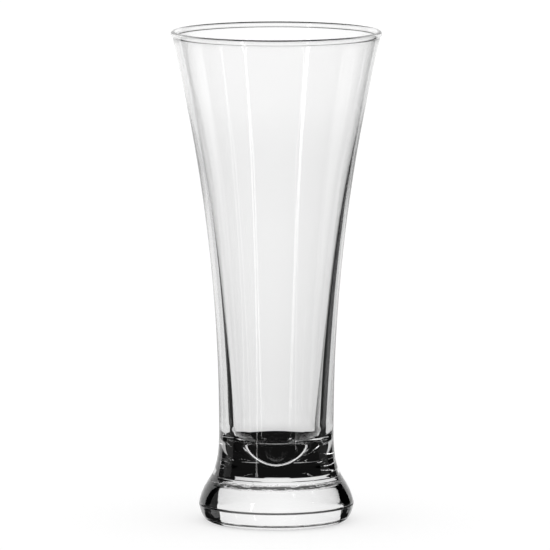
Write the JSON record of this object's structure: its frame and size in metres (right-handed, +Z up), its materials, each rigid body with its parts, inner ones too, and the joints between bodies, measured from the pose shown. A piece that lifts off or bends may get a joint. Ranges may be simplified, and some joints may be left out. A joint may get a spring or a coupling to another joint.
{
  "type": "pilsner glass",
  "caption": "Flared pilsner beer glass in clear thick glass: a tall tapered bowl with a rounded rim, fused onto a heavy solid foot that flares out and tucks in to a flat resting ring.",
  "frame": {"origin": "middle of the resting ring, on the table under the foot", "axes": "+Z up along the glass's axis of revolution; X and Y are equivalent, with the picture taken from -Y"},
  "size_m": [0.078, 0.078, 0.182],
  "materials": {
    "bowl_glass": "clear soda-lime glass, fire-polished",
    "foot_glass": "clear soda-lime glass, pressed, with a few fine seeds"
  },
  "bodies": {
    "root": {"bowl": "bowl_glass", "foot": "foot_glass"}
  },
  "joints": []
}
